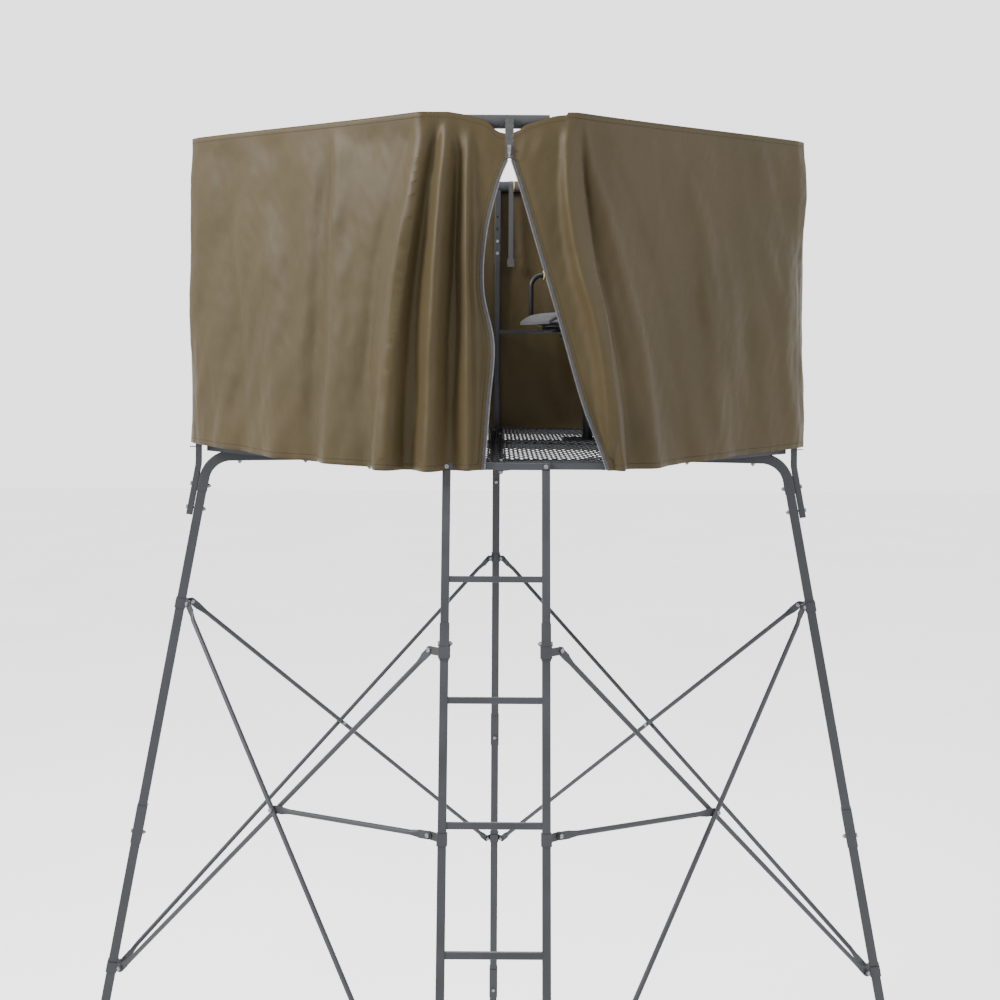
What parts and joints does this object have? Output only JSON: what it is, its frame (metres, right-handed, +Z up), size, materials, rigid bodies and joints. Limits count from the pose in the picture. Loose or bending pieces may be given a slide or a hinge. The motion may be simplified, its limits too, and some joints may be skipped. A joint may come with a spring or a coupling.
{
  "type": "tripod hunting stand",
  "caption": "Elevated hunting stand: mesh deck on splayed tube legs with a ladder, padded shooting rail, fabric skirt with zipped door and swivel seats.",
  "frame": {"origin": "on the ground under the centre of the box that holds the whole stand", "axes": "+Z up, -Y towards the ladder and the door, +X to the right when facing the ladder"},
  "size_m": [3.4596, 2.6778, 4.7265],
  "materials": {
    "frame_paint": "dark slate grey powder coat, slightly textured",
    "brace_paint": "dark slate grey powder coat",
    "mesh_paint": "expanded steel mesh, dark grey coat",
    "seat_paint": "black powder coat",
    "bolt_zinc": "zinc plated",
    "rubber_black": "matte black rubber",
    "foam_charcoal": "closed-cell foam, matte charcoal",
    "seat_fabric": "black woven sling fabric over foam",
    "cover_fabric": "olive-brown woven polyester, soft folds",
    "zip_tape": "black zip tape with coil",
    "zip_metal": "dark nickel",
    "webbing_black": "black webbing and cord"
  },
  "bodies": {
    "stand": {"ladder_top_section": "frame_paint", "ladder_upper_section": "frame_paint", "ladder_middle_section": "frame_paint", "ladder_lower_section": "frame_paint", "ladder_feet": "rubber_black", "corner_bracket_left": "frame_paint", "corner_bracket_right": "frame_paint", "corner_bracket_rear": "frame_paint", "leg_left_upper": "frame_paint", "leg_left_middle": "frame_paint", "leg_left_lower": "frame_paint", "leg_right_upper": "frame_paint", "leg_right_middle": "frame_paint", "leg_right_lower": "frame_paint", "leg_rear_upper": "frame_paint", "leg_rear_middle": "frame_paint", "leg_rear_lower": "frame_paint", "leg_feet": "frame_paint", "brace_clamps": "frame_paint", "front_braces_high": "brace_paint", "front_braces_low": "brace_paint", "rear_braces_high": "brace_paint", "rear_braces_low": "brace_paint", "ladder_ties": "brace_paint", "brace_bolts": "bolt_zinc", "frame_bolts": "bolt_zinc", "deck_frame_left": "frame_paint", "deck_frame_right": "frame_paint", "deck_mesh_left": "mesh_paint", "deck_mesh_right": "mesh_paint", "deck_stay": "frame_paint", "post_left": "frame_paint", "post_right": "frame_paint", "post_rear": "frame_paint", "posts_front": "frame_paint", "mid_rails": "brace_paint", "seat_pedestals": "frame_paint", "cover_left": "cover_fabric", "cover_right": "cover_fabric", "cover_rear": "cover_fabric", "zipper_tape": "zip_tape", "corner_ties": "webbing_black"},
    "shooting_rail": {"rail_left": "frame_paint", "rail_right": "frame_paint", "rail_foam": "foam_charcoal", "post_sleeves": "frame_paint", "rail_screws": "bolt_zinc", "hanging_strap": "webbing_black"},
    "gate": {"gate_bar": "frame_paint", "gate_foam": "foam_charcoal"},
    "seat_left": {"seat_left_frame": "seat_paint", "seat_left_cushion": "seat_fabric", "seat_left_backrest": "seat_fabric", "seat_left_pads": "foam_charcoal"},
    "seat_right": {"seat_right_frame": "seat_paint", "seat_right_cushion": "seat_fabric", "seat_right_backrest": "seat_fabric", "seat_right_pads": "foam_charcoal"},
    "zipper_slider": {"zipper_slider": "zip_metal"},
    "zipper_pull": {"zipper_pull": "zip_metal"}
  },
  "joints": [
    {"name": "rail_height", "type": "slide", "parent": "stand", "child": "shooting_rail", "axis": [0, 0, 1], "range_m": [-0.104, 0]},
    {"name": "gate_hinge", "type": "hinge", "parent": "shooting_rail", "child": "gate", "pos_m": [-0.179, -0.66146, 4.703], "axis": [0, -1, 0], "range_deg": [0, 90]},
    {"name": "seat_left_swivel", "type": "hinge", "parent": "stand", "child": "seat_left", "pos_m": [-0.345, 0.23854, 3.958], "axis": [0, 0, 1], "continuous": true},
    {"name": "seat_right_swivel", "type": "hinge", "parent": "stand", "child": "seat_right", "pos_m": [0.345, 0.23854, 3.958], "axis": [0, 0, 1], "continuous": true},
    {"name": "zipper_slide", "type": "slide", "parent": "stand", "child": "zipper_slider", "axis": [0, 0, 1], "range_m": [0, 0.06]},
    {"name": "zipper_pull_hinge", "type": "hinge", "parent": "zipper_slider", "child": "zipper_pull", "pos_m": [0.034, -0.70266, 4.6178], "axis": [-1, 0, 0], "range_deg": [0, 100]}
  ]
}
